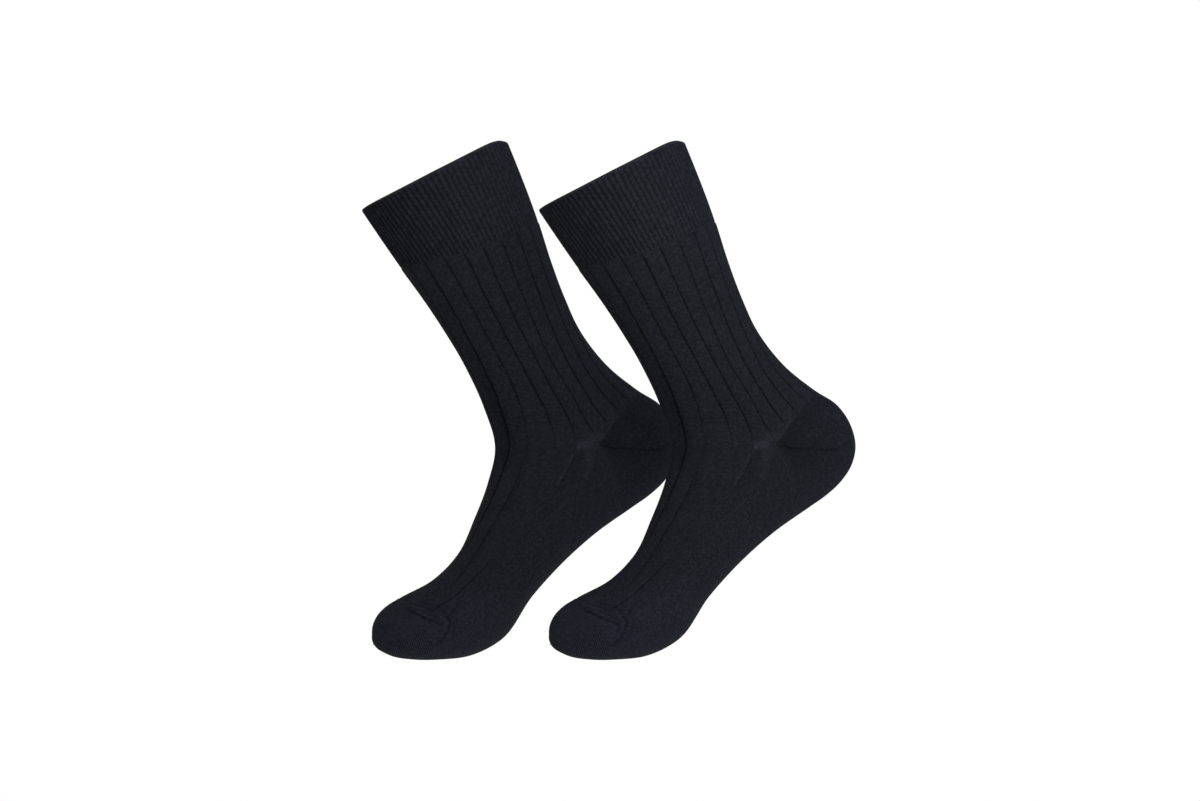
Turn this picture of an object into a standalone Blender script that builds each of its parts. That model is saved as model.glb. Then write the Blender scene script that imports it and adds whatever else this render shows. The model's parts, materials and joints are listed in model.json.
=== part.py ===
"""A pair of ribbed crew socks, filled out as if worn, with the legs and feet gone.

Each sock is knitted as one tube and built here as its five stretches: cuff, leg, heel pocket,
foot and toe. Every stretch is a wall of cloth with an empty hollow inside it, and neighbours
stand a hair apart along the course of stitches where one ends and the next begins.

Frame: +Z is up the wearer's leg, +X runs from the toes' side to the heel's side, and each sock is
the same on both sides of its own XZ plane. The origin is in the middle of the near sock's cuff,
6 mm inside the open top's edge.
"""

import math
from typing import NamedTuple

import bmesh
import bpy
import numpy as np

MM = 0.001

CLOTH_THICKNESS = 1.6 * MM
CUFF_THICKNESS = 2.2 * MM
SEAM_GAP = 0.4 * MM
# How far apart the sections stand along each stretch, which turns a gap into a share of a step.
LEG_SPACING, TOE_SPACING, HEEL_SPACING = 25.0 * MM, 12.5 * MM, 20.0 * MM
# The open top's edge dips this much at the front and at the back, as shares of the cuff's depth.
FRONT_DIP, BACK_DIP = 0.015, 0.07
POINTS_ROUND = 32
HEEL_START = math.radians(91.5)
FAR_SOCK_PLACE = (-132.75 * MM, 150.0 * MM, 0.0)

NAVY = (0.0145, 0.0155, 0.0210, 1.0)
CLOTH_ROUGHNESS = 0.92


class Section(NamedTuple):
    """One course of stitches round the sock, in millimetres.

    It passes through a front point, a point halfway round on each side and a back point. The side
    points stand half_width out from the sock's middle plane. Fullness is 2 for an ellipse, more
    for a boxier curve and less for a leaner one.
    """

    front_x: float
    front_z: float
    side_x: float
    side_z: float
    back_x: float
    back_z: float
    half_width: float
    front_fullness: float
    back_fullness: float


# From the open top to the ankle. The last course bends at the side, where the heel pocket starts.
LEG = (
    Section(-57.0, -22.7, -3.0, 5.2, 50.8, 32.4, 58.0, 2.0, 2.0),
    Section(-26.7, -67.0, 25.5, -55.0, 75.8, -32.5, 53.0, 2.0, 2.0),
    Section(-9.0, -91.5, 40.0, -81.5, 85.0, -61.5, 48.5, 2.0, 2.0),
    Section(8.0, -117.5, 56.0, -110.0, 95.5, -89.5, 44.5, 2.0, 2.0),
    Section(23.0, -143.5, 75.0, -139.5, 108.5, -116.5, 40.5, 2.0, 2.0),
    Section(35.5, -171.0, 100.0, -169.0, 127.5, -140.5, 36.5, 2.0, 2.1),
    Section(44.0, -202.0, 121.5, -199.0, 151.0, -159.0, 34.5, 2.0, 2.2),
)

# From the ankle to the seam across the toes. The back points run along the sole.
FOOT = (
    Section(44.0, -202.0, 121.5, -199.0, 147.2, -245.4, 34.5, 2.0, 2.2),
    Section(38.5, -228.0, 97.5, -235.0, 119.5, -265.0, 36.0, 2.0, 2.2),
    Section(28.0, -255.8, 70.0, -265.5, 94.0, -287.8, 40.0, 2.0, 2.3),
    Section(16.5, -280.4, 48.5, -293.0, 71.8, -312.3, 44.0, 2.0, 2.3),
    Section(-2.6, -300.5, 30.0, -312.5, 47.8, -345.6, 46.5, 2.0, 2.3),
    Section(-27.5, -314.2, 12.5, -330.0, 24.8, -357.3, 46.0, 2.1, 2.2),
)

# From that seam round the ends of the toes.
TOE = (
    FOOT[-1],
    Section(-38.0, -320.6, -7.0, -336.5, 2.0, -360.2, 43.0, 2.2, 2.2),
    Section(-45.0, -328.0, -25.0, -340.5, -18.0, -360.2, 35.5, 2.2, 2.2),
    Section(-48.3, -335.8, -38.0, -344.5, -33.4, -357.8, 24.0, 2.2, 2.2),
    Section(-48.7, -342.0, -44.4, -347.6, -42.0, -353.9, 11.0, 2.1, 2.1),
)
TOE_TIP = (-47.3, -348.8)

# The back of the heel pocket, between the leg's last back point and the sole's first one.
HEEL_BACK = (
    (167.0, -169.5),
    (177.5, -185.0),
    (181.0, -201.5),
    (178.0, -214.5),
    (169.8, -227.0),
    (158.8, -237.2),
)

LEG_ENDS = len(LEG) - 1
FOOT_ENDS = LEG_ENDS + len(FOOT) - 1
TOE_ENDS = FOOT_ENDS + len(TOE) - 1
HEEL_STEPS = len(HEEL_BACK) + 1


class SmoothLine:
    """A smooth curve through points, read at 0 for the first point, 1 for the second and so on."""

    def __init__(self, points):
        self.points = np.array(points, float).reshape(len(points), -1)
        self.steps = np.diff(self.points, axis=0)
        self.lengths = np.linalg.norm(self.steps, axis=1)[:, None] + 1e-9
        slopes = self.steps / self.lengths
        before, after = self.lengths[:-1], self.lengths[1:]
        inner = (slopes[:-1] * after + slopes[1:] * before) / (before + after)
        first = 1.5 * slopes[:1] - 0.5 * inner[:1]
        last = 1.5 * slopes[-1:] - 0.5 * inner[-1:]
        self.slopes = np.vstack([first, inner, last])

    def at(self, place):
        start = int(min(max(math.floor(place), 0), len(self.steps) - 1))
        share = place - start
        length = self.lengths[start]
        rise = share * share * (3.0 - 2.0 * share)
        lead = share * (1.0 - share) ** 2
        trail = share * share * (share - 1.0)
        return (
            self.points[start]
            + rise * self.steps[start]
            + length * (lead * self.slopes[start] + trail * self.slopes[start + 1])
        )


def columns(sections, *names):
    """These columns of a table of sections, one tuple for each row."""
    return [tuple(getattr(section, name) for name in names) for section in sections]


BODY = LEG + FOOT[1:] + TOE[1:]
FRONT_LINE = SmoothLine(columns(BODY, "front_x", "front_z"))
LEG_SIDE_LINE = SmoothLine(columns(LEG, "side_x", "side_z", "half_width"))
FOOT_SIDE_LINE = SmoothLine(columns(FOOT + TOE[1:], "side_x", "side_z", "half_width"))
BACK_LINE = SmoothLine(
    columns(LEG, "back_x", "back_z")
    + list(HEEL_BACK)
    + columns(FOOT + TOE[1:], "back_x", "back_z")
)
FULLNESS_LINE = SmoothLine(columns(BODY, "front_fullness", "back_fullness"))


def quarter(share_of_turn, fullness):
    """(cosine-like, sine-like) shares of a quarter of a ring of this fullness."""
    power = 2.0 / fullness
    return (
        abs(math.cos(share_of_turn)) ** power,
        abs(math.sin(share_of_turn)) ** power,
    )


def ring_point(front, side, back, fullness, angle):
    """A point of a course, in metres. Angle 0 is the front, a quarter turn is the near side."""
    side, half_width = side[:2], side[2]
    ahead = math.cos(angle) > 0.0
    reach, spread = quarter(angle, fullness[0] if ahead else fullness[1])
    end = front if ahead else back
    x, z = side + reach * (end - side)
    y = -math.copysign(half_width * spread, math.sin(angle))
    return np.array((x, y, z)) * MM


def leg_point(place, angle):
    """Place 0 is the open top and LEG_ENDS the ankle."""
    return ring_point(
        FRONT_LINE.at(place),
        LEG_SIDE_LINE.at(place),
        BACK_LINE.at(place),
        FULLNESS_LINE.at(place),
        angle,
    )


def cuff_point(place, angle):
    """Place 0 is the edge of the open top and 1 is where the leg starts."""
    reach = math.cos(angle)
    top = (FRONT_DIP if reach > 0.0 else BACK_DIP) * abs(reach) ** 14
    return leg_point(top + (1.0 - top) * place, angle)


def foot_point(place, angle):
    """Place LEG_ENDS is the ankle, FOOT_ENDS the toe seam and TOE_ENDS the last toe section."""
    return ring_point(
        FRONT_LINE.at(place),
        FOOT_SIDE_LINE.at(place - LEG_ENDS),
        BACK_LINE.at(place + HEEL_STEPS),
        FULLNESS_LINE.at(place),
        angle,
    )


def heel_point(turn, angle):
    """The heel pocket's courses fan about the ankle's side point: turn 0 is the top, 1 the sole."""
    return ring_point(
        FRONT_LINE.at(LEG_ENDS),
        LEG_SIDE_LINE.at(LEG_ENDS),
        BACK_LINE.at(LEG_ENDS + turn * HEEL_STEPS),
        FULLNESS_LINE.at(LEG_ENDS),
        angle,
    )


def outward(surface, place, angle):
    """The unit normal that points out of the sock."""
    small = 1e-3
    along = surface(place + small, angle) - surface(place - small, angle)
    around = surface(place, angle + small) - surface(place, angle - small)
    normal = np.cross(along, around)
    return normal / np.linalg.norm(normal)


def cloth_rows(surface, places, angles, thickness):
    """The cloth's outer points and, one thickness inside them, its inner points."""
    outer = [[surface(place, angle) for angle in angles] for place in places]
    inner = [
        [point - thickness * outward(surface, place, angle) for point, angle in zip(row, angles)]
        for row, place in zip(outer, places)
    ]
    return outer, inner


def seam_trim(spacing):
    """The share of a step that half a seam's gap is, for sections this far apart."""
    return 0.5 * SEAM_GAP / spacing


def steps_between(first, last, count):
    return [first + (last - first) * step / count for step in range(count + 1)]


def angles_round():
    return [math.tau * step / POINTS_ROUND for step in range(POINTS_ROUND)]


def add_grid(mesh, rows, closed):
    """Adds rows of points and the faces between them, and returns the rows of vertices."""
    made = [[mesh.verts.new(point) for point in row] for row in rows]
    for upper, lower in zip(made, made[1:]):
        add_strip(mesh, upper, lower, closed)
    return made


def add_strip(mesh, upper, lower, closed):
    count = len(upper)
    for step in range(count if closed else count - 1):
        after = (step + 1) % count
        mesh.faces.new((upper[step], lower[step], lower[after], upper[after]))


def add_fan(mesh, ring, tip):
    """Closes a ring with triangles to a point."""
    apex = mesh.verts.new(tip)
    for step, vertex in enumerate(ring):
        mesh.faces.new((vertex, ring[(step + 1) % len(ring)], apex))


def finish_mesh(name, mesh):
    bmesh.ops.recalc_face_normals(mesh, faces=mesh.faces)
    data = bpy.data.meshes.new(name)
    mesh.to_mesh(data)
    mesh.free()
    data.shade_smooth()
    data.set_sharp_from_angle(angle=math.radians(60.0))
    return data


def tube_mesh(name, surface, places, thickness):
    """A tube of cloth, open at both ends."""
    outer, inner = cloth_rows(surface, places, angles_round(), thickness)
    mesh = bmesh.new()
    outer_rows = add_grid(mesh, outer, closed=True)
    inner_rows = add_grid(mesh, inner, closed=True)
    add_strip(mesh, outer_rows[0], inner_rows[0], closed=True)
    add_strip(mesh, outer_rows[-1], inner_rows[-1], closed=True)
    return finish_mesh(name, mesh)


def heel_mesh(name):
    """The cup of cloth round the back of the heel, pointed where it starts on each side."""
    trim = seam_trim(HEEL_SPACING)
    turns = steps_between(trim, 1.0 - trim, 8)
    angles = steps_between(HEEL_START, math.tau - HEEL_START, POINTS_ROUND // 2)
    outer, inner = cloth_rows(heel_point, turns, angles, CLOTH_THICKNESS)
    mesh = bmesh.new()
    outer_rows = add_grid(mesh, outer, closed=False)
    inner_rows = add_grid(mesh, inner, closed=False)
    add_strip(mesh, outer_rows[0], inner_rows[0], closed=False)
    add_strip(mesh, outer_rows[-1], inner_rows[-1], closed=False)
    for end in (0, -1):
        edge = [row[end] for row in outer_rows]
        lining = [row[end] for row in inner_rows]
        add_strip(mesh, edge, lining, closed=False)
    return finish_mesh(name, mesh)


def toe_mesh(name, places):
    """The closed cup of cloth over the toes."""
    outer, inner = cloth_rows(foot_point, places, angles_round(), CLOTH_THICKNESS)
    tip = np.array((TOE_TIP[0], 0.0, TOE_TIP[1])) * MM
    inward = np.mean(inner[-1], axis=0) - tip
    inner_tip = tip + CLOTH_THICKNESS * inward / np.linalg.norm(inward)
    mesh = bmesh.new()
    outer_rows = add_grid(mesh, outer, closed=True)
    inner_rows = add_grid(mesh, inner, closed=True)
    add_strip(mesh, outer_rows[0], inner_rows[0], closed=True)
    add_fan(mesh, outer_rows[-1], tip)
    add_fan(mesh, inner_rows[-1], inner_tip)
    return finish_mesh(name, mesh)


def sock_meshes():
    """{stretch of the sock: its mesh}, shared by both socks."""
    trim = seam_trim(LEG_SPACING)
    return {
        "cuff": tube_mesh("cuff", cuff_point, steps_between(0.0, 1.0 - trim, 4), CUFF_THICKNESS),
        "leg": tube_mesh(
            "leg", leg_point, steps_between(1.0 + trim, LEG_ENDS - trim, 10), CLOTH_THICKNESS
        ),
        "heel": heel_mesh("heel"),
        "foot": tube_mesh(
            "foot",
            foot_point,
            steps_between(LEG_ENDS + trim, FOOT_ENDS - trim, 10),
            CLOTH_THICKNESS,
        ),
        "toe": toe_mesh("toe", steps_between(FOOT_ENDS + seam_trim(TOE_SPACING), TOE_ENDS, 6)),
    }


def knit_material(name, shade):
    """Dark navy knitted cloth. Shade lightens or deepens it."""
    material = bpy.data.materials.new(name)
    material.use_nodes = True
    surface = material.node_tree.nodes["Principled BSDF"]
    colour = tuple(channel * shade for channel in NAVY[:3]) + (1.0,)
    surface.inputs["Base Color"].default_value = colour
    surface.inputs["Roughness"].default_value = CLOTH_ROUGHNESS
    surface.inputs["Metallic"].default_value = 0.0
    return material


def clear_scene():
    for item in list(bpy.data.objects):
        bpy.data.objects.remove(item, do_unlink=True)


def place_sock(side, place, meshes):
    """One sock: its five stretches, carried by an empty at the middle of its open top."""
    carrier = bpy.data.objects.new(f"{side}_sock", None)
    carrier.location = place
    bpy.context.collection.objects.link(carrier)
    for stretch, mesh in meshes.items():
        piece = bpy.data.objects.new(f"{side}_{stretch}", mesh)
        piece.parent = carrier
        bpy.context.collection.objects.link(piece)


def main():
    clear_scene()
    meshes = sock_meshes()
    shades = {"cuff": 1.1, "leg": 1.0, "heel": 0.9, "foot": 1.0, "toe": 1.05}
    for stretch, mesh in meshes.items():
        mesh.materials.append(knit_material(f"{stretch}_knit", shades[stretch]))
    place_sock("near", (0.0, 0.0, 0.0), meshes)
    place_sock("far", FAR_SOCK_PLACE, meshes)


main()
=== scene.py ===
"""A pair of ribbed crew socks in dark navy knit, filled out as if worn, with no wearer.

Each sock is one knitted tube in five stretches: a 1x1 rib cuff, a wide-rib leg, a heel pocket, a
foot with a ribbed instep, and a toe pocket. Every stretch is a thin shell on its own CAD form. Its
mesh lines follow the knitting: a column of points runs down a line of stitches, called a wale, and
a row runs round a course.
"""

import json
import math
from typing import NamedTuple

import bpy
import numpy as np
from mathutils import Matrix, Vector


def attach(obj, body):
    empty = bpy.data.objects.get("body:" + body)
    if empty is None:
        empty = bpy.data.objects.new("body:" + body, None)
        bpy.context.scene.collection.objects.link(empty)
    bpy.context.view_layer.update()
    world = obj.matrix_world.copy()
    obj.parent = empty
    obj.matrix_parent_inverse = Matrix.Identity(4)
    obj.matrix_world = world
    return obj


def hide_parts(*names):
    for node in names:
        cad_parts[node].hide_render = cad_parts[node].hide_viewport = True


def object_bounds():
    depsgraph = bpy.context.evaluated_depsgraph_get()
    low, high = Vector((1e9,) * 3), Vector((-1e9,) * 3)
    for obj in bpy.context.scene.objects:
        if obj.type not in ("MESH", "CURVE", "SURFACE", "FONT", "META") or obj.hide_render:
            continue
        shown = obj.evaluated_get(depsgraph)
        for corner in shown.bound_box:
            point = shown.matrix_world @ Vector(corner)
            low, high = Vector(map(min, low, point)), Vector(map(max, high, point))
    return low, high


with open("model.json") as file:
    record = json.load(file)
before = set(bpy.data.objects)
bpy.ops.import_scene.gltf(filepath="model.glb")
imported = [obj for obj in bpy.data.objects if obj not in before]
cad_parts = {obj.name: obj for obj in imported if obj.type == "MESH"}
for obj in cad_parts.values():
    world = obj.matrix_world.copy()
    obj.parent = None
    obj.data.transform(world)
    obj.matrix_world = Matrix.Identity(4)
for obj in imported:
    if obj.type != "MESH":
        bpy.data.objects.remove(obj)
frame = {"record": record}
CAD_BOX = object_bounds()

bl_info = {
    "name": "Ribbed Crew Socks",
    "version": (1, 0, 0),
    "blender": (4, 5, 0),
    "location": "3D View > Sidebar > Socks",
    "description": "Builds a pair of ribbed crew socks, filled out as if worn",
    "category": "Add Mesh",
}

MM = 0.001
SOCKS = ("near", "far")

# The knitting: 160 stitches round, in 20 wide ribs of 7 plain stitches and a sunk one.
RIBS = 20
STITCHES_A_RIB = 8
# Where the columns of points start and end, on the far side of the sock, counted in ribs.
FIRST_RIB = -6.0
RIB_TURN = math.radians(18.0)


# --- The sock's form -----------------------------------------------------------------------------


class Section(NamedTuple):
    """One course of stitches round the sock, in millimetres.

    It passes through a front point, a point halfway round on each side and a back point. The side
    points stand half_width out from the sock's middle plane. Fullness is 2 for an ellipse, more
    for a boxier curve.
    """

    front_x: float
    front_z: float
    side_x: float
    side_z: float
    back_x: float
    back_z: float
    half_width: float
    front_fullness: float
    back_fullness: float


# From the open top to the ankle. The last course bends at the side, where the heel pocket starts.
LEG = (
    Section(-57.0, -22.7, -3.0, 5.2, 50.8, 32.4, 58.0, 2.0, 2.0),
    Section(-26.7, -67.0, 25.5, -55.0, 75.8, -32.5, 53.0, 2.0, 2.0),
    Section(-9.0, -91.5, 40.0, -81.5, 85.0, -61.5, 48.5, 2.0, 2.0),
    Section(8.0, -117.5, 56.0, -110.0, 95.5, -89.5, 44.5, 2.0, 2.0),
    Section(23.0, -143.5, 75.0, -139.5, 108.5, -116.5, 40.5, 2.0, 2.0),
    Section(35.5, -171.0, 100.0, -169.0, 127.5, -140.5, 36.5, 2.0, 2.1),
    Section(44.0, -202.0, 121.5, -199.0, 151.0, -159.0, 34.5, 2.0, 2.2),
)

# From the ankle to the seam across the toes. The back points run along the sole.
FOOT = (
    Section(44.0, -202.0, 121.5, -199.0, 147.2, -245.4, 34.5, 2.0, 2.2),
    Section(38.5, -228.0, 97.5, -235.0, 119.5, -265.0, 36.0, 2.0, 2.2),
    Section(28.0, -255.8, 70.0, -265.5, 94.0, -287.8, 40.0, 2.0, 2.3),
    Section(16.5, -280.4, 48.5, -293.0, 71.8, -312.3, 44.0, 2.0, 2.3),
    Section(-2.6, -300.5, 30.0, -312.5, 47.8, -345.6, 46.5, 2.0, 2.3),
    Section(-27.5, -314.2, 12.5, -330.0, 24.8, -357.3, 46.0, 2.1, 2.2),
)

# From that seam round the ends of the toes.
TOE = (
    FOOT[-1],
    Section(-38.0, -320.6, -7.0, -336.5, 2.0, -360.2, 43.0, 2.2, 2.2),
    Section(-45.0, -328.0, -25.0, -340.5, -18.0, -360.2, 35.5, 2.2, 2.2),
    Section(-48.3, -335.8, -38.0, -344.5, -33.4, -357.8, 24.0, 2.2, 2.2),
    Section(-48.7, -342.0, -44.4, -347.6, -42.0, -353.9, 11.0, 2.1, 2.1),
)
TOE_TIP = (-47.3, -348.8)

# The back of the heel pocket, between the leg's last back point and the sole's first one.
HEEL_BACK = (
    (167.0, -169.5),
    (177.5, -185.0),
    (181.0, -201.5),
    (178.0, -214.5),
    (169.8, -227.0),
    (158.8, -237.2),
)

LEG_ENDS = len(LEG) - 1
FOOT_ENDS = LEG_ENDS + len(FOOT) - 1
TOE_ENDS = FOOT_ENDS + len(TOE) - 1
HEEL_STEPS = len(HEEL_BACK) + 1
# The open top's edge dips this much at the front and at the back, as shares of the cuff's depth,
# and the higher the sharpness, the narrower the dips.
FRONT_DIP, BACK_DIP = 0.015, 0.07
DIP_SHARPNESS = 14


class SmoothLine:
    """A smooth curve through points, read at 0 for the first point, 1 for the second and so on."""

    def __init__(self, points):
        self.points = np.array(points, float).reshape(len(points), -1)
        self.steps = np.diff(self.points, axis=0)
        self.lengths = np.linalg.norm(self.steps, axis=1)[:, None] + 1e-9
        slopes = self.steps / self.lengths
        before, after = self.lengths[:-1], self.lengths[1:]
        inner = (slopes[:-1] * after + slopes[1:] * before) / (before + after)
        first = 1.5 * slopes[:1] - 0.5 * inner[:1]
        last = 1.5 * slopes[-1:] - 0.5 * inner[-1:]
        self.slopes = np.vstack([first, inner, last])

    def at(self, places):
        places = np.atleast_1d(np.asarray(places, float))
        start = np.clip(np.floor(places).astype(int), 0, len(self.steps) - 1)
        share = (places - start)[:, None]
        length = self.lengths[start]
        rise = share * share * (3.0 - 2.0 * share)
        lead = share * (1.0 - share) ** 2
        trail = share * share * (share - 1.0)
        return (
            self.points[start]
            + rise * self.steps[start]
            + length * (lead * self.slopes[start] + trail * self.slopes[start + 1])
        )


def columns(sections, *names):
    """These columns of a table of sections, one tuple for each row."""
    return [tuple(getattr(section, name) for name in names) for section in sections]


BODY = LEG + FOOT[1:] + TOE[1:]
FRONT_LINE = SmoothLine(columns(BODY, "front_x", "front_z"))
LEG_SIDE_LINE = SmoothLine(columns(LEG, "side_x", "side_z", "half_width"))
FOOT_SIDE_LINE = SmoothLine(columns(FOOT + TOE[1:], "side_x", "side_z", "half_width"))
BACK_LINE = SmoothLine(
    columns(LEG, "back_x", "back_z")
    + list(HEEL_BACK)
    + columns(FOOT + TOE[1:], "back_x", "back_z")
)
FULLNESS_LINE = SmoothLine(columns(BODY, "front_fullness", "back_fullness"))


def course_points(places, side, back_places, angles):
    """Points of courses, in metres, a row of angles for each. Angle 0 is the front of the sock,
    and a quarter turn is its near side."""
    front, back = FRONT_LINE.at(places), BACK_LINE.at(back_places)
    fullness = FULLNESS_LINE.at(places)
    side, half_width = side[:, :2], side[:, 2:]
    cosine, sine = np.cos(angles), np.sin(angles)
    ahead = cosine > 0.0
    power = 2.0 / np.where(ahead, fullness[:, :1], fullness[:, 1:])
    reach = np.abs(cosine) ** power
    spread = np.abs(sine) ** power
    end = np.where(ahead[..., None], front[:, None], back[:, None])
    middle = side[:, None] + reach[..., None] * (end - side[:, None])
    across = -np.sign(sine) * half_width * spread
    return np.stack([middle[..., 0], across, middle[..., 1]], axis=-1) * MM


def leg_form(places, angles):
    """Place 0 is the open top and LEG_ENDS the ankle."""
    return course_points(places, LEG_SIDE_LINE.at(places), places, angles)


def cuff_form(places, angles):
    """Place 0 is the edge of the open top, and 1 the cuff's lower end."""
    reach = np.cos(angles)
    top = np.where(reach > 0.0, FRONT_DIP, BACK_DIP) * np.abs(reach) ** DIP_SHARPNESS
    leg_places = top + (1.0 - top) * np.asarray(places, float)[:, None]
    points = leg_form(
        leg_places.ravel(), np.broadcast_to(angles, leg_places.shape).reshape(-1, 1)
    )
    return points.reshape(*leg_places.shape, 3)


def foot_form(places, angles):
    """Place LEG_ENDS is the ankle, FOOT_ENDS the toe seam and TOE_ENDS the last toe section."""
    places = np.asarray(places, float)
    side = FOOT_SIDE_LINE.at(places - LEG_ENDS)
    return course_points(places, side, places + HEEL_STEPS, angles)


def body_form(places, angles):
    """leg_form down to the ankle, and foot_form from there to the toes."""
    above = np.asarray(places, float)[:, None, None] < LEG_ENDS
    return np.where(above, leg_form(places, angles), foot_form(places, angles))


def toe_form(places, angles):
    """As foot_form, and then on to the tip of the toe at TOE_ENDS + 1."""
    places = np.asarray(places, float)
    ring = foot_form(np.minimum(places, TOE_ENDS), angles)
    beyond = np.clip(places - TOE_ENDS, 0.0, 1.0)[:, None, None]
    middle = ring.mean(axis=1, keepdims=True)
    tip = np.array((TOE_TIP[0], 0.0, TOE_TIP[1])) * MM
    return middle + (ring - middle) * (1.0 - beyond) + (tip - middle) * beyond * (2.0 - beyond)


def heel_form(turns, angles):
    """The heel pocket's courses fan about the ankle's side point: turn 0 is the top, 1 the sole."""
    turns = np.asarray(turns, float)
    ankle = np.full(turns.shape, float(LEG_ENDS))
    back_places = LEG_ENDS + turns * HEEL_STEPS
    return course_points(ankle, LEG_SIDE_LINE.at(ankle), back_places, angles)


# --- Where the ribs run --------------------------------------------------------------------------


class Twist(NamedTuple):
    """How far the ribs stand past their even places round one course, in degrees.

    Rib 0 starts at the front of the sock, rib 5 where the heel starts on the near side, rib 10 at
    the back and rib 15 where the heel starts on the far side. The leg is pulled on with a twist
    that comes out at the ankle.
    """

    place: float
    rib_0: float
    rib_2: float
    rib_3: float
    rib_4: float
    rib_5: float
    rib_7: float
    rib_10: float
    rib_13: float
    rib_15: float
    rib_17: float


TWISTS = (
    Twist(0.0, 24.0, 24.0, 24.0, 23.5, 23.0, 23.5, 23.5, 23.5, 23.5, 24.0),
    Twist(1.0, 27.5, 31.0, 30.3, 28.0, 26.5, 24.2, 23.2, 24.0, 25.0, 26.5),
    Twist(2.0, 24.8, 30.0, 28.6, 26.4, 24.6, 23.8, 23.0, 23.5, 24.0, 24.5),
    Twist(3.0, 21.2, 27.7, 26.6, 24.0, 21.5, 21.0, 21.0, 21.0, 21.0, 21.0),
    Twist(4.0, 16.8, 25.2, 23.6, 20.0, 15.6, 15.0, 14.8, 14.0, 14.0, 15.0),
    Twist(4.8, 14.2, 19.8, 18.4, 12.6, 8.2, 4.0, 6.5, 7.0, 7.0, 10.0),
    Twist(5.4, 12.0, 15.0, 15.4, 9.9, 2.4, -1.5, 2.0, 2.0, 1.5, 6.0),
    Twist(5.75, 10.6, 12.4, 12.9, 7.4, 1.3, -2.8, 0.6, 0.6, -0.6, 4.0),
    Twist(6.0, 10.0, 11.0, 10.8, 5.0, 0.0, -3.0, 0.0, 0.0, 0.0, 3.0),
    Twist(6.3, 9.4, 11.0, 11.2, 8.0, 1.0, -2.0, 0.0, 0.0, -1.0, 3.0),
    Twist(7.0, 8.0, 11.4, 13.0, 10.0, 1.4, 0.0, 0.0, 0.0, -1.5, 3.0),
    Twist(8.0, 6.0, 12.0, 16.0, 9.6, 1.4, 0.0, 0.0, 0.0, -1.5, 3.0),
    Twist(9.0, 5.0, 10.7, 15.7, 9.6, 1.4, 0.0, 0.0, 0.0, -1.5, 3.5),
    Twist(10.0, 5.0, 16.5, 15.0, 9.0, 1.4, 0.0, 0.0, 0.0, -1.5, 4.0),
    Twist(11.0, 5.0, 17.0, 12.6, 7.5, 1.4, 0.0, 0.0, 0.0, -1.5, 4.0),
)


def through_table(knots, values, at):
    """A smooth curve through a table's values, read at any places along its knots."""
    knots, values = np.asarray(knots, float), np.asarray(values, float)
    wide = (slice(None),) + (None,) * (values.ndim - 1)
    gaps = np.diff(knots)[wide]
    rises = np.diff(values, axis=0) / gaps
    slopes = np.empty_like(values)
    slopes[0], slopes[-1] = rises[0], rises[-1]
    slopes[1:-1] = (rises[:-1] * gaps[1:] + rises[1:] * gaps[:-1]) / (gaps[:-1] + gaps[1:])
    at = np.atleast_1d(np.asarray(at, float))
    start = np.clip(np.searchsorted(knots, at, side="right") - 1, 0, len(knots) - 2)
    gap = gaps[start]
    share = (at - knots[start])[wide] / gap
    return (
        values[start] * (1.0 + 2.0 * share) * (1.0 - share) ** 2
        + values[start + 1] * share**2 * (3.0 - 2.0 * share)
        + gap * slopes[start] * share * (1.0 - share) ** 2
        - gap * slopes[start + 1] * share**2 * (1.0 - share)
    )


TWIST_PLACES = [twist.place for twist in TWISTS]
TWIST_RIBS = [int(name.split("_")[1]) for name in Twist._fields[1:]]


def rib_angles(places, ribs):
    """The angle round the sock of each rib number, a row for each place, in radians."""
    rows = through_table(TWIST_PLACES, [twist[1:] for twist in TWISTS], places)
    knots = np.array(TWIST_RIBS, float)
    round_knots = np.concatenate([knots[-2:] - RIBS, knots, knots[:2] + RIBS])
    round_rows = np.hstack([rows[:, -2:], rows, rows[:, :2]])
    leans = through_table(round_knots, round_rows.T, np.mod(ribs, RIBS)).T
    return np.asarray(ribs)[None, :] * RIB_TURN + np.radians(leans)


class Fade(NamedTuple):
    """How deep a groove between ribs is at one place along the sock, as a share of its full depth."""

    place: float
    depth: float


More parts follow.
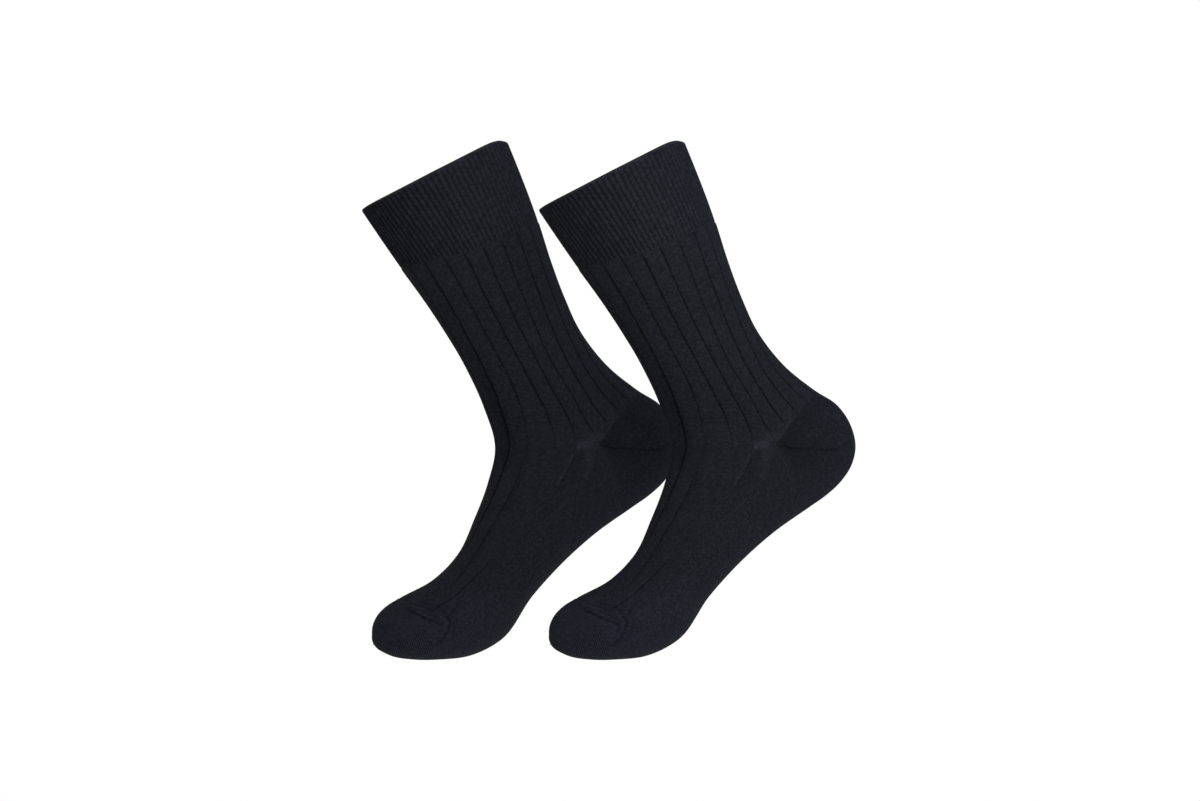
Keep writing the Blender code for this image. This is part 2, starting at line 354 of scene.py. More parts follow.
# Each groove's fades. Down the front of the ankle the grooves flatten, and the instep keeps some
# of them. A groove that isn't here is full depth, unless it ends at the heel pocket.
FADES = {
    0: (Fade(5.2, 0.9), Fade(6.6, 0.55), Fade(8.4, 0.25), Fade(9.2, 0.0)),
    1: (Fade(8.2, 1.0), Fade(8.9, 0.2), Fade(9.4, 0.0)),
    2: (
        Fade(4.7, 1.0), Fade(5.2, 0.45), Fade(5.8, 0.2), Fade(6.5, 0.2), Fade(7.0, 0.85),
        Fade(9.6, 0.9), Fade(10.3, 0.1), Fade(10.7, 0.0),
    ),
    3: (
        Fade(5.1, 1.0), Fade(5.7, 0.5), Fade(6.2, 0.1), Fade(6.6, 0.0), Fade(8.8, 0.05),
        Fade(9.2, 0.75), Fade(10.7, 0.75), Fade(11.0, 0.4),
    ),
    4: (
        Fade(5.4, 0.9), Fade(5.85, 0.4), Fade(6.05, 0.3), Fade(6.3, 0.5), Fade(6.8, 0.4),
        Fade(7.1, 0.1), Fade(7.5, 0.0),
    ),
    5: (
        Fade(5.5, 0.8), Fade(5.95, 0.2), Fade(6.1, 0.0), Fade(8.2, 0.0), Fade(8.5, 0.25),
        Fade(10.1, 0.25), Fade(10.5, 0.0),
    ),
    15: (
        Fade(5.6, 0.8), Fade(5.95, 0.2), Fade(6.1, 0.0), Fade(8.4, 0.0), Fade(8.8, 0.25),
        Fade(10.0, 0.2), Fade(10.4, 0.0),
    ),
    16: (Fade(5.3, 0.9), Fade(5.9, 0.4), Fade(6.6, 0.45), Fade(7.0, 0.1), Fade(7.4, 0.0)),
    17: (
        Fade(5.2, 1.0), Fade(5.8, 0.4), Fade(6.4, 0.05), Fade(8.6, 0.05), Fade(9.1, 0.8),
        Fade(10.6, 0.7), Fade(11.0, 0.35),
    ),
    18: (
        Fade(5.0, 1.0), Fade(5.6, 0.5), Fade(6.6, 0.3), Fade(7.1, 0.85), Fade(9.5, 0.9),
        Fade(10.4, 0.1), Fade(10.8, 0.0),
    ),
    19: (Fade(8.0, 1.0), Fade(8.8, 0.2), Fade(9.3, 0.0)),
}
# The grooves that end at the heel pocket.
HEEL_GROOVES = range(6, 15)
HEEL_FADE_STARTS, HEEL_FADE_ENDS = 5.74, 5.97


def groove_depths(places):
    """Each groove's share of its full depth, a row for each place and a column for each groove."""
    depths = np.ones((len(places), RIBS))
    for groove, fades in FADES.items():
        depths[:, groove] = np.interp(places, *zip(*fades))
    for groove in HEEL_GROOVES:
        depths[:, groove] = 1.0 - eased(places, HEEL_FADE_STARTS, HEEL_FADE_ENDS)
    return depths


def eased(values, low, high):
    """0 below low, 1 above high and an even ease between them."""
    share = np.clip((np.asarray(values, float) - low) / (high - low), 0.0, 1.0)
    return share * share * (3.0 - 2.0 * share)


def hump(distance, reach):
    """1 at no distance, falling away smoothly over about this reach."""
    return np.exp(-((distance / reach) ** 2))


# --- Folds, gathers and soft dents ---------------------------------------------------------------


class Fold(NamedTuple):
    """A soft ridge in the cloth, or a trough where its height is below zero.

    It runs between two spots, each a place along the sock and an angle round it in degrees. Height
    and reach, its half width, are in millimetres. Shade is painted light along it: lighter for a
    painted highlight on a ridge, darker for painted shade in a trough where below zero.
    """

    start_place: float
    start_angle: float
    end_place: float
    end_angle: float
    height: float
    reach: float
    shade: float


# Down the front of the leg, beside the ankle, on the foot and before the toes. A negative angle
# is the far side.
BODY_FOLDS = (
    Fold(1.15, 47.3, 2.3, 45.1, -0.4, 1.2, -0.3),
    Fold(2.3, 45.1, 3.5, 41.4, -0.4, 1.1, -0.3),
    Fold(3.4, 42.0, 5.0, 34.6, -0.6, 1.3, -0.42),
    Fold(5.0, 34.3, 6.4, 28.4, -0.45, 1.6, -0.5),
    Fold(6.4, 28.2, 8.0, 26.6, -0.6, 1.2, -0.45),
    Fold(3.6, 35.0, 6.4, 22.0, -0.2, 3.4, -0.2),
    Fold(5.4, 35.8, 6.6, 33.2, 0.0, 0.8, -0.2),
    Fold(6.5, 50.6, 7.2, 50.2, -0.4, 0.8, -0.26),
    Fold(6.1, 77.8, 6.85, 79.8, 0.8, 1.1, 0.5),
    Fold(6.2, 83.0, 6.8, 85.5, -0.4, 2.2, -0.05),
    Fold(5.96, 78.5, 6.01, 87.0, 0.5, 2.8, 0.62),
    Fold(6.04, 83.5, 6.35, 90.5, 0.6, 2.8, 0.55),
    Fold(5.99, 79.0, 6.1, 80.0, 0.4, 1.5, 0.7),
    Fold(5.82, 90.0, 5.94, 94.0, 0.3, 1.8, 0.35),
    Fold(6.05, 81.0, 6.03, 85.0, 0.3, 1.0, 0.5),
    Fold(6.12, 83.0, 6.3, 85.5, -0.3, 1.2, -0.2),
    Fold(5.74, 88.0, 5.86, 92.5, 0.3, 2.8, 0.3),
    Fold(5.85, 84.5, 5.93, 88.5, 0.2, 1.8, 0.25),
    Fold(6.3, 88.0, 6.8, 99.0, 0.3, 3.0, 0.1),
    Fold(5.86, 66.0, 6.1, 72.0, 0.25, 4.0, 0.08),
    Fold(6.2, 62.0, 6.9, 66.0, -0.3, 5.0, 0.0),
    Fold(7.3, 72.0, 7.9, 78.0, 0.25, 4.0, 0.07),
    Fold(8.9, 98.0, 9.3, 120.0, -0.3, 6.0, 0.0),
    Fold(10.5, 79.0, 10.9, 84.0, -0.7, 1.3, -0.4),
    Fold(10.88, 44.0, 10.8, 68.0, -0.5, 1.0, -0.35),
    Fold(10.8, 66.0, 10.92, 82.0, -0.5, 1.0, -0.35),
    Fold(10.6, 87.0, 10.85, 92.0, 0.5, 1.8, 0.1),
    Fold(10.35, 71.0, 10.8, 79.0, 0.4, 1.6, 0.1),
    Fold(6.1, -78.0, 6.75, -80.5, 0.75, 1.7, 0.3),
    Fold(6.15, -84.0, 6.8, -85.5, -0.4, 2.4, -0.05),
    Fold(5.95, -80.0, 6.03, -88.0, 0.5, 4.4, 0.2),
    Fold(6.06, -84.0, 6.25, -89.0, 0.6, 4.0, 0.22),
    Fold(5.75, -88.0, 5.88, -92.5, 0.3, 3.6, 0.18),
    Fold(7.8, -72.0, 8.5, -82.0, 0.3, 5.0, 0.06),
    Fold(9.1, -96.0, 9.5, -116.0, -0.3, 6.5, 0.0),
    Fold(10.5, -79.0, 10.9, -84.0, -0.6, 1.6, -0.25),
    Fold(10.88, -50.0, 10.84, -72.0, -0.5, 1.1, -0.35),
)

# Across and under the toes: the sewn seam's line, the gathers beside it and the gore line.
TOE_FOLDS = (
    Fold(11.04, 0.0, 11.04, 40.0, -0.25, 0.8, -0.08),
    Fold(11.04, 40.0, 11.02, 81.0, -0.4, 0.8, -0.16),
    Fold(11.16, 4.0, 11.18, 66.0, 0.4, 1.2, 0.1),
    Fold(11.52, 44.0, 11.57, 74.0, -0.8, 1.0, -0.55),
    Fold(11.57, 70.0, 11.5, 90.0, -0.8, 1.0, -0.5),
    Fold(11.4, 54.0, 11.46, 78.0, 0.65, 1.2, 0.28),
    Fold(11.28, 60.0, 11.2, 84.0, -0.5, 0.8, -0.3),
    Fold(11.02, 84.0, 11.3, 98.0, -0.9, 1.1, -0.5),
    Fold(11.3, 98.0, 11.55, 110.0, -0.7, 1.1, -0.42),
    Fold(11.55, 110.0, 12.0, 124.0, -0.7, 1.2, -0.4),
    Fold(11.1, 78.0, 11.22, 85.0, 0.8, 1.6, 0.12),
    Fold(11.3, 101.0, 11.75, 121.0, 0.4, 1.5, 0.1),
    Fold(11.85, 76.0, 12.0, 96.0, 0.35, 2.4, 0.06),
    Fold(11.75, 60.0, 11.8, 82.0, 0.35, 1.6, 0.1),
    Fold(12.35, 60.0, 12.5, 96.0, -0.25, 2.2, 0.0),
    Fold(11.04, -36.0, 11.04, 0.0, -0.25, 0.8, -0.08),
    Fold(11.02, -80.0, 11.04, -36.0, -0.4, 0.9, -0.16),
    Fold(11.18, -72.0, 11.17, -4.0, 0.45, 1.4, 0.1),
    Fold(11.6, -77.0, 11.52, -50.0, -0.6, 1.1, -0.35),
    Fold(11.42, -80.0, 11.4, -58.0, 0.4, 1.4, 0.15),
    Fold(11.5, -106.0, 11.02, -84.0, -0.75, 0.9, -0.45),
    Fold(12.05, -125.0, 11.5, -106.0, -0.6, 1.0, -0.4),
    Fold(11.26, -87.0, 11.12, -79.0, 0.75, 1.8, 0.12),
    Fold(11.9, -97.0, 11.8, -75.0, 0.3, 2.6, 0.05),
)

# The place and the angles of the knots that end the toe seam, one at each side.
KNOT_PLACE = 11.0
KNOT_ANGLES = (83.0, -83.0)
KNOT_REACH = 1.6 * MM
KNOT_HEIGHT = 0.9 * MM

# How many straight steps follow a fold round the form.
FOLD_STEPS = 10
# How strong a fold still is at its ends, as a share of its middle.
FOLD_END = 0.55


def along_fold(points, path, reach):
    """How near each point is to a path of short straight steps: 1 on it, easing away round it."""
    nearest = np.zeros(points.shape[:-1])
    for step in range(FOLD_STEPS):
        start, run = path[step], path[step + 1] - path[step]
        share = np.clip(((points - start) @ run) / (run @ run), 0.0, 1.0)
        gap = np.linalg.norm(points - (start + share[..., None] * run), axis=-1)
        fullness = FOLD_END + (1.0 - FOLD_END) * np.sin(math.pi * (step + share) / FOLD_STEPS)
        nearest = np.maximum(nearest, hump(gap, reach) * fullness)
    return nearest


def folded(folds, form, base):
    """(height, shade) that all of these folds add at each point of a surface, height in metres."""
    lift = np.zeros(base.shape[:-1])
    shade = np.zeros(base.shape[:-1])
    for fold in folds:
        places = np.linspace(fold.start_place, fold.end_place, FOLD_STEPS + 1)
        angles = np.radians(np.linspace(fold.start_angle, fold.end_angle, FOLD_STEPS + 1))
        path = form(places, angles[:, None])[:, 0]
        near = along_fold(base, path, fold.reach * MM)
        lift += fold.height * MM * near
        shade += fold.shade * near
    return lift, shade


# --- Meshes --------------------------------------------------------------------------------------


def directions(points, closed):
    """The outward direction at each point of a grid of rows round the sock."""
    down = np.gradient(points, axis=0)
    if closed:
        padded = np.concatenate([points[:, -2:-1], points, points[:, 1:2]], axis=1)
        around = (padded[:, 2:] - padded[:, :-2]) / 2.0
    else:
        around = np.gradient(points, axis=1)
    out = np.cross(down, around)
    out /= np.linalg.norm(out, axis=-1, keepdims=True) + 1e-12
    return out


def with_extra_rows(places):
    """The places with one more at each end, so that end rows get a fair direction."""
    first = places[0] - (places[1] - places[0])
    last = places[-1] + (places[-1] - places[-2])
    return np.concatenate([[first], places, [last]])


class Cloth(NamedTuple):
    """One face of the cloth: its points, outward directions, stitch numbers and marks."""

    points: np.ndarray
    out: np.ndarray
    knit: np.ndarray
    marks: dict


def outer_face(points, out, wales, course, cool, sunk, tone, courses=None):
    """A stretch's outer face, less the extra rows that gave its end rows their directions."""
    marks = {"cool": cool, "sunk": sunk, "tone": tone}
    marks["courses"] = np.zeros(sunk.shape) if courses is None else courses
    return Cloth(
        points[1:-1],
        out[1:-1],
        np.stack(np.meshgrid(wales, course), axis=-1),
        {mark: values[1:-1] for mark, values in marks.items()},
    )


def rows_of(face, picked):
    """Some rows of a face of cloth, in the order given."""
    return Cloth(
        face.points[picked],
        face.out[picked],
        face.knit[picked],
        {mark: values[picked] for mark, values in face.marks.items()},
    )


def even_places(form, first, last, count):
    """Places from first to last, equally far apart along the cloth on average."""
    fine = np.linspace(first, last, 400)
    angles = np.tile(np.radians([0.0, 60.0, 90.0, 120.0, 180.0]), (len(fine), 1))
    steps = np.linalg.norm(np.diff(form(fine, angles), axis=0), axis=-1).mean(axis=1)
    travelled = np.concatenate([[0.0], np.cumsum(steps)])
    return np.interp(np.linspace(0.0, travelled[-1], count), travelled, fine)


# The map for baking keeps this clear at its edges, and the rows this far apart.
MAP_MARGIN = 0.004
ROW_MARGIN = 0.2 * MM
# How strongly the marks of the outer face show on the inner one.
INSIDE_MARKS = 0.6


def quads_of(rows, stations, kept, looped):
    """The corners of each quad, and the row below each row of quads."""
    row = np.arange(rows if looped else rows - 1)
    next_row = (row + 1) % rows
    column = np.arange(stations - 1)
    next_column = (column + 1) % kept
    pairs = ((row, column), (row, next_column), (next_row, next_column), (next_row, column))
    corners = [(down[:, None] * kept + across[None, :]).ravel() for down, across in pairs]
    return np.stack(corners, axis=1), next_row


def corner_values(above, below):
    """What each corner of each quad takes from the row above it and the row below it."""
    ends = [above[:, :-1], above[:, 1:], below[:, 1:], below[:, :-1]]
    return np.stack(ends, axis=2).reshape(-1, above.shape[-1])


def bake_map(points, looped):
    """The map for baking lays the rows out by their length, outer face first."""
    stations = points.shape[1]
    lengths = np.linalg.norm(np.diff(points, axis=0), axis=-1).mean(axis=1)
    if looped:
        lengths = np.append(lengths, np.linalg.norm(points[0] - points[-1], axis=-1).mean())
    down = np.concatenate([[0.0], np.cumsum(lengths + ROW_MARGIN)])
    down = MAP_MARGIN + (1.0 - 2.0 * MAP_MARGIN) * down / down[-1]
    across = np.linspace(MAP_MARGIN, 1.0 - MAP_MARGIN, stations)
    return np.stack(np.broadcast_arrays(across, down[:, None]), axis=-1)


def tip_fan(tip_at, row, order, edge, lay, knit):
    """The triangles from one end row to the point that closes it, with what their corners take."""
    kept = knit.shape[1] - 1
    faces, spots, stitches = [], [], []
    for col in range(kept):
        here, there = row * kept + col, row * kept + (col + 1) % kept
        faces.append((tip_at, there, here)[::order])
        left, right = lay[row, col], lay[row, col + 1]
        spots += [((left[0] + right[0]) / 2.0, edge), right, left][::order]
        stitches += [knit[row, col], knit[row, col + 1], knit[row, col]][::order]
    return faces, spots, stitches


def cloth_mesh(name, faces_of_cloth, closed, looped, tips=()):
    """A mesh from one stack of rows: the outer face's rows, then the inner face's.

    closed joins each row's ends. looped joins the last row to the first. tips gives the points
    that close the first and last rows instead.
    """
    points = np.concatenate([face.points for face in faces_of_cloth])
    out = np.concatenate([face.out for face in faces_of_cloth])
    knit = np.concatenate([face.knit for face in faces_of_cloth])
    rows, stations = points.shape[:2]
    kept = stations - 1 if closed else stations
    quads, next_row = quads_of(rows, stations, kept, looped)
    vertices = points[:, :kept].reshape(-1, 3)
    normals = out[:, :kept].reshape(-1, 3)
    lay = bake_map(points, looped)
    lay_loops = corner_values(lay[: len(next_row)], lay[1 : len(next_row) + 1])
    knit_loops = corner_values(knit[: len(next_row)], knit[next_row])

    faces = quads.tolist()
    if tips:
        first_tip = len(vertices)
        vertices = np.vstack([vertices, *tips])
        normals = np.vstack([normals, out[0].mean(axis=0), out[-1].mean(axis=0)])
        for fan in ((first_tip, 0, 1, 0.0), (first_tip + 1, rows - 1, -1, 1.0)):
            fan_faces, spots, stitches = tip_fan(*fan, lay, knit)
            faces += fan_faces
            lay_loops = np.vstack([lay_loops, spots])
            knit_loops = np.vstack([knit_loops, stitches])

    mesh = bpy.data.meshes.new(name)
    mesh.from_pydata(vertices.tolist(), [], faces)
    for map_name, loops in (("Knit", knit_loops), ("OFBake", lay_loops)):
        uv_map = mesh.uv_layers.new(name=map_name)
        uv_map.uv.foreach_set("vector", np.ascontiguousarray(loops, np.float32).ravel())
    mesh.uv_layers.active = mesh.uv_layers["OFBake"]
    for mark in faces_of_cloth[0].marks:
        values = np.concatenate([face.marks[mark] for face in faces_of_cloth])[:, :kept].ravel()
        values = np.concatenate([values, np.zeros(len(vertices) - len(values))])
        attribute = mesh.attributes.new(mark, "FLOAT", "POINT")
        attribute.data.foreach_set("value", values.astype(np.float32))
    # A negative total means that the faces run the wrong way round.
    corners = vertices[quads]
    facing = np.cross(corners[:, 2] - corners[:, 0], corners[:, 3] - corners[:, 1])
    if float((facing * normals[quads[:, 0]]).sum()) < 0.0:
        mesh.flip_normals()
    mesh.validate()
    mesh.polygons.foreach_set("use_smooth", np.ones(len(mesh.polygons), bool))
    mesh.normals_split_custom_set_from_vertices(normals.tolist())
    mesh.update()
    return mesh


def rounded_edge(start, finish, along, rows):
    """Rows that round the cloth's cut edge over from one face's end row to the other's."""
    middle = (start.points + finish.points) / 2.0
    half = (start.points - finish.points) / 2.0
    depth = np.linalg.norm(half, axis=-1, keepdims=True)
    unit = half / (depth + 1e-12)
    turns = np.linspace(0.0, math.pi, rows + 2)[1:-1]
    points = [middle + half * math.cos(t) + along * depth * math.sin(t) for t in turns]
    out = [unit * math.cos(t) + along * math.sin(t) for t in turns]
    knit = np.repeat(start.knit[None], rows, axis=0)
    marks = {mark: np.repeat(values[None], rows, axis=0) for mark, values in start.marks.items()}
    return Cloth(np.array(points), np.array(out), knit, marks)


def inside_of(face, thickness, every):
    """The cloth's inner face, from the bottom row up: every so many rows, moved in."""
    picked = sorted({*range(0, len(face.points), every), len(face.points) - 1}, reverse=True)
    rows = rows_of(face, picked)
    marks = {mark: values * INSIDE_MARKS for mark, values in rows.marks.items()}
    return Cloth(rows.points - rows.out * thickness, -rows.out, rows.knit, marks)


# --- Materials -----------------------------------------------------------------------------------


class Value:
    """A shader socket. Arithmetic signs on it add Math nodes."""

    def __init__(self, shader, socket):
        self.shader = shader
        self.socket = socket

    def maths(self, operation, *others):
        return self.shader.node(
            "ShaderNodeMath", {"operation": operation}, (self, *others), "Value"
        )

    def __add__(self, other):
        return self.maths("ADD", other)

    __radd__ = __add__

    def __sub__(self, other):
        return self.maths("SUBTRACT", other)

    def __rsub__(self, other):
        return self.shader.node(
            "ShaderNodeMath", {"operation": "SUBTRACT"}, (other, self), "Value"
        )

    def __mul__(self, other):
        return self.maths("MULTIPLY", other)

    __rmul__ = __mul__

    def __abs__(self):
        return self.maths("ABSOLUTE")

    def part(self):
        """What is left over a whole number."""
        return self.maths("FRACT")

    def whole(self):
        return self.maths("FLOOR")

    def over(self, low, high):
        """0 below low, 1 above high and an even ease between them."""
        return self.shader.node(
            "ShaderNodeMapRange",
            {"interpolation_type": "SMOOTHSTEP"},
            {"Value": self, "From Min": low, "From Max": high},
            "Result",
        )

    def waves(self):
        """A wave from 0 to 1 and back, once for each whole number."""
        return 0.5 + 0.5 * (self * (2.0 * math.pi)).maths("COSINE")


class Shader:
    """A material and the one way that its nodes are added."""

    def __init__(self, name):
        self.material = bpy.data.materials.new(name)
        self.material.use_nodes = True
        self.tree = self.material.node_tree
        self.tree.nodes.clear()

    def node(self, kind, settings, sockets, output):
        """Adds a node, sets its settings, then its sockets, and returns one output."""
        added = self.tree.nodes.new(kind)
        for setting, value in settings.items():
            setattr(added, setting, value)
        named = sockets.items() if isinstance(sockets, dict) else enumerate(sockets)
        for key, value in named:
            if isinstance(value, Value):
                self.tree.links.new(value.socket, added.inputs[key])
            else:
                added.inputs[key].default_value = value
        return Value(self, added.outputs[output]) if output else added

    def mix(self, factor, first, second, blend="MIX"):
        """A mix of two colours."""
        mixer = self.node("ShaderNodeMix", {"data_type": "RGBA", "blend_type": blend}, {}, None)
        for index, value in ((0, factor), (6, first), (7, second)):
            if isinstance(value, Value):
                self.tree.links.new(value.socket, mixer.inputs[index])
            else:
                mixer.inputs[index].default_value = value
        return Value(self, mixer.outputs[2])


    def spots(self, scale, detail=2.0, rough=0.5):
        """Cloudy noise, scale spots to the metre."""
        here = self.node("ShaderNodeTexCoord", {}, {}, "Object")
        return self.node(
            "ShaderNodeTexNoise",
            {"noise_dimensions": "3D"},
            {"Vector": here, "Scale": scale, "Detail": detail, "Roughness": rough},
            "Fac",
        )

    def mark(self, name):
        """A mark on the mesh."""
        settings = {"attribute_type": "GEOMETRY", "attribute_name": name}
        return self.node("ShaderNodeAttribute", settings, {}, "Fac")


class Stitching(NamedTuple):
    """How one stretch of the sock is knitted, for its material.

    Vees and courses are the shares of the height that come from the V of each stitch and from the
    lines between courses. Tint multiplies the yarn's colour, since closer cloth looks darker; the
    cuff's is painted light, making up for the shade in its deep ribs.
    """

    slot: str
    vees: float
    courses: float
    tint: tuple


STITCHINGS = (
    # The cuff's lighter tint is painted light against the shade in its deep ribs.
    Stitching("cuff", 0.8, 0.2, (1.32, 1.31, 1.31)),
    Stitching("leg", 0.75, 0.15, (0.98, 0.98, 0.98)),
    Stitching("heel", 0.6, 0.3, (0.78, 0.78, 0.79)),
    Stitching("foot", 0.75, 0.2, (0.92, 0.92, 0.92)),
    Stitching("toe", 0.6, 0.45, (0.97, 0.97, 0.97)),
)

# The toes' yarn looks a little lighter and bluer; down the back the tint is painted light.
COOL_TINT = (1.16, 1.23, 1.38)


class Stitches(NamedTuple):
    """Patterns of the knitting, each from 0 to 1, from its stitch numbers."""

    strand: Value
    leg_of_vee: Value
    lines: Value
    lot: Value


def stitch_patterns(shader):
    """Where the yarn runs over the cloth: the strands of each stitch, the two legs of its V, the
    lines between courses, and a lot drawn for each stitch."""
    knit = shader.node("ShaderNodeUVMap", {"uv_map": "Knit"}, {}, "UV")
    split = shader.node("ShaderNodeSeparateXYZ", {}, {"Vector": knit}, None)
    wale = Value(shader, split.outputs["X"])
    course = Value(shader, split.outputs["Y"])
    unevenness = shader.spots(420.0) - 0.5
    slack = shader.spots(120.0) - 0.5
    wale_here = wale + unevenness * 0.7
    course_here = course + slack * 0.9 + unevenness * 0.6

    # Each stitch is a V: two legs of yarn that lean to the middle of the wale.
    off_middle = abs(wale_here.part() - 0.5)
    leg_of_vee = (course_here + off_middle * 0.9).waves()
    between_wales = off_middle.over(0.34, 0.5)
    in_middle = 1.0 - off_middle.over(0.0, 0.12)
    strand = (1.0 - between_wales) * (1.0 - 0.45 * in_middle)
    lines = (course + slack * 0.2).waves()

    numbers = {"X": wale_here.whole(), "Y": course_here.whole(), "Z": 0.0}
    cell = shader.node("ShaderNodeCombineXYZ", {}, numbers, "Vector")
    lot = shader.node(
        "ShaderNodeTexWhiteNoise", {"noise_dimensions": "3D"}, {"Vector": cell}, "Value"
    )
    return Stitches(strand, leg_of_vee, lines, lot)


def knit_material(stitching, yarn):
    """Fine, matt, plain-knitted yarn. Marks on the mesh paint shade into the sunk stitches, paint
    light and shade along the folds and round the sides, and say where the courses stand out."""
    shader = Shader(f"{stitching.slot}_knit")
    strand, leg_of_vee, lines, lot = stitch_patterns(shader)
    fibres = shader.spots(1300.0, 3.0, 0.8)
    lines_here = shader.mark("courses")

    # Every stitch takes the light a little differently, and a few show a pale fibre.
    light = (
        (0.76 + 0.48 * lot)
        * (0.43 + 1.14 * fibres)
        * (0.94 + 0.12 * shader.spots(38.0, 3.0))
        * (0.66 + 0.50 * strand * (0.5 + 0.5 * leg_of_vee))
        * (1.0 + 0.95 * lines_here * (lines - 0.5))
        # painted light and shade: fold highlights and creases, the front darker, the back lighter
        * (1.0 + shader.mark("tone"))
        # painted shade: darker where the stitches are sunk, in the grooves and the gore line
        * (1.0 - 0.54 * shader.mark("sunk"))
    )
    pale = lot.over(0.7, 1.0) * fibres.over(0.5, 0.7) * yarn.fibre_share
    close, cool = (
        (*(part * share for part, share in zip(yarn.yarn_colour, tint)), 1.0)
        for tint in (stitching.tint, COOL_TINT)
    )
    colour = shader.mix(shader.mark("cool"), close, cool)
    grey = {"Red": light, "Green": light, "Blue": light}
    grey = shader.node("ShaderNodeCombineColor", {}, grey, "Color")
    colour = shader.mix(1.0, colour, grey, "MULTIPLY")
    colour = shader.mix(pale, colour, (*yarn.fibre_colour, 1.0))

    height = (
        strand * (0.45 + 0.55 * leg_of_vee) * stitching.vees
        + lines * stitching.courses
        + lines * lines_here
        + 0.35 * fibres
    )
    relief = {
        "Strength": yarn.stitch_strength,
        "Distance": yarn.stitch_height,
        "Height": height,
    }
    cloth = shader.node(
        "ShaderNodeBsdfPrincipled",
        {},
        {
            "Base Color": colour,
            "Roughness": yarn.roughness - 0.08 * lot,
            "Specular IOR Level": yarn.shine,
            "Sheen Weight": yarn.nap,
            "Sheen Roughness": 0.5,
            "Sheen Tint": (0.72, 0.78, 1.0, 1.0),
            "Normal": shader.node("ShaderNodeBump", {}, relief, "Normal"),
        },
        "BSDF",
    )
    shader.node("ShaderNodeOutputMaterial", {}, {"Surface": cloth}, None)
    return shader.material


# --- Sizes and colours that a user may change ----------------------------------------------------


def colour_setting(name, description, default):
    """A colour setting."""
    return bpy.props.FloatVectorProperty(
        name=name,
        description=description,
        subtype="COLOR",
        size=3,
        min=0.0,
        max=1.0,
        default=default,
    )


def share_setting(name, description, default):
    """A setting from 0 to 1."""
    return bpy.props.FloatProperty(
        name=name, description=description, subtype="FACTOR", min=0.0, max=1.0, default=default
    )


def length_setting(name, description, default):
    """A setting that is a length."""
    return bpy.props.FloatProperty(
        name=name, description=description, subtype="DISTANCE", unit="LENGTH", default=default
    )


class SockYarn(bpy.types.PropertyGroup):
    """The yarn's colour and finish."""

    yarn_colour: colour_setting("Yarn", "Colour of the yarn", (0.0108, 0.01135, 0.0153))
    fibre_colour: colour_setting(
        "Fibre", "Colour of the few pale fibres in the yarn", (0.030, 0.032, 0.044)
    )
    fibre_share: share_setting("Pale Fibres", "How strongly the pale fibres show", 0.35)
    roughness: share_setting("Roughness", "How matt the yarn is", 0.92)
    shine: share_setting("Shine", "How strongly the yarn's surface reflects", 0.04)
    nap: share_setting("Nap", "How much light the loose fibres catch at the cloth's edges", 0.0)
    stitch_height: length_setting(
        "Stitch Height", "How far a stitch stands up from the cloth", 0.35 * MM
    )
    stitch_strength: share_setting(
        "Stitch Strength", "How strongly the stitches show in the light", 0.8
    )


class SockKnitting(bpy.types.PropertyGroup):
    """Sizes of the knitting."""

    cloth_thickness: length_setting(
        "Cloth", "Thickness of the cloth in the leg, heel, foot and toe", 1.6 * MM
    )
    cuff_thickness: length_setting("Cuff", "Thickness of the cuff's rib", 2.2 * MM)
    fullness: length_setting(
        "Fullness",
        "How far the faces of the stitches stand out from the cloth's even surface",
        0.2 * MM,
    )
    groove_depth: length_setting(
        "Groove Depth",
        "How far the sunk stitch between two wide ribs lies below them",
        1.1 * MM,
    )
    rib_crown: length_setting(
        "Rib Crown", "How far the middle of a wide rib stands above its edges", 0.35 * MM
    )
    cuff_groove_depth: length_setting(
        "Cuff Groove Depth",
        "How far the sunk stitches of the cuff's 1x1 rib lie below the others",
        1.0 * MM,
    )
    course_height: length_setting("Course", "Height of one course of stitches", 1.4 * MM)


class SockStage(bpy.types.PropertyGroup):
    """The floor, lights and camera."""

    floor_drop: length_setting("Floor Drop", "How far the floor lies below the toes", 240.0 * MM)
    camera_distance: length_setting(
        "Camera Distance", "How far the camera stands from the near sock", 4.0
    )
    view_width: length_setting("View Width", "Width of the view at the near sock", 0.9)
    daylight: share_setting("Daylight", "Brightness of the even light from all round", 0.51)


# --- The pieces ----------------------------------------------------------------------------------


def sock_place(sock):
    """Where a sock's open top is, from its mount in the record."""
    for mount in frame["record"]["mounts"]:
        if mount["name"] == f"wearer_leg_{sock}":
            return mount["pos_m"]
    raise RuntimeError(f"The record has no mount for the {sock} sock.")


def place_piece(stretch, mesh):
    """Puts this stretch on both socks, in place of its CAD nodes."""
    scene = bpy.context.scene
    stitching = next(row for row in STITCHINGS if row.slot == stretch)
    mesh.materials.append(knit_material(stitching, scene.sock_yarn))
    for sock in SOCKS:
        own_mesh = mesh if sock == SOCKS[0] else mesh.copy()
        piece = bpy.data.objects.new(f"{sock}_sock_{stretch}", own_mesh)
        piece.location = sock_place(sock)
        scene.collection.objects.link(piece)
        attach(piece, "root")
        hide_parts(f"{sock}_{stretch}")


CUFF_DEPTH = 60.0 * MM
# The cuff's edge rolls in over this reach, and its lower end is drawn in under the leg.
CUFF_ROLL_REACH, CUFF_ROLL_IN = 2.2 * MM, 0.9 * MM
CUFF_END_IN = 0.7 * MM
# The leg starts just above the cuff's lower end, tucked in under it.
LEG_TOP = 0.985
LEG_TUCK = 0.6 * MM
# Lengths of the stretches along the knitting.
LEG_LENGTH, HEEL_LENGTH, FOOT_LENGTH = 165.0 * MM, 118.0 * MM, 175.0 * MM
GORE_DEPTH = 0.35 * MM
# From the toe's last course to its tip, and the height of the toe's courses against the others.
TIP_LENGTH = 7.0 * MM
TOE_COURSE = 1.3


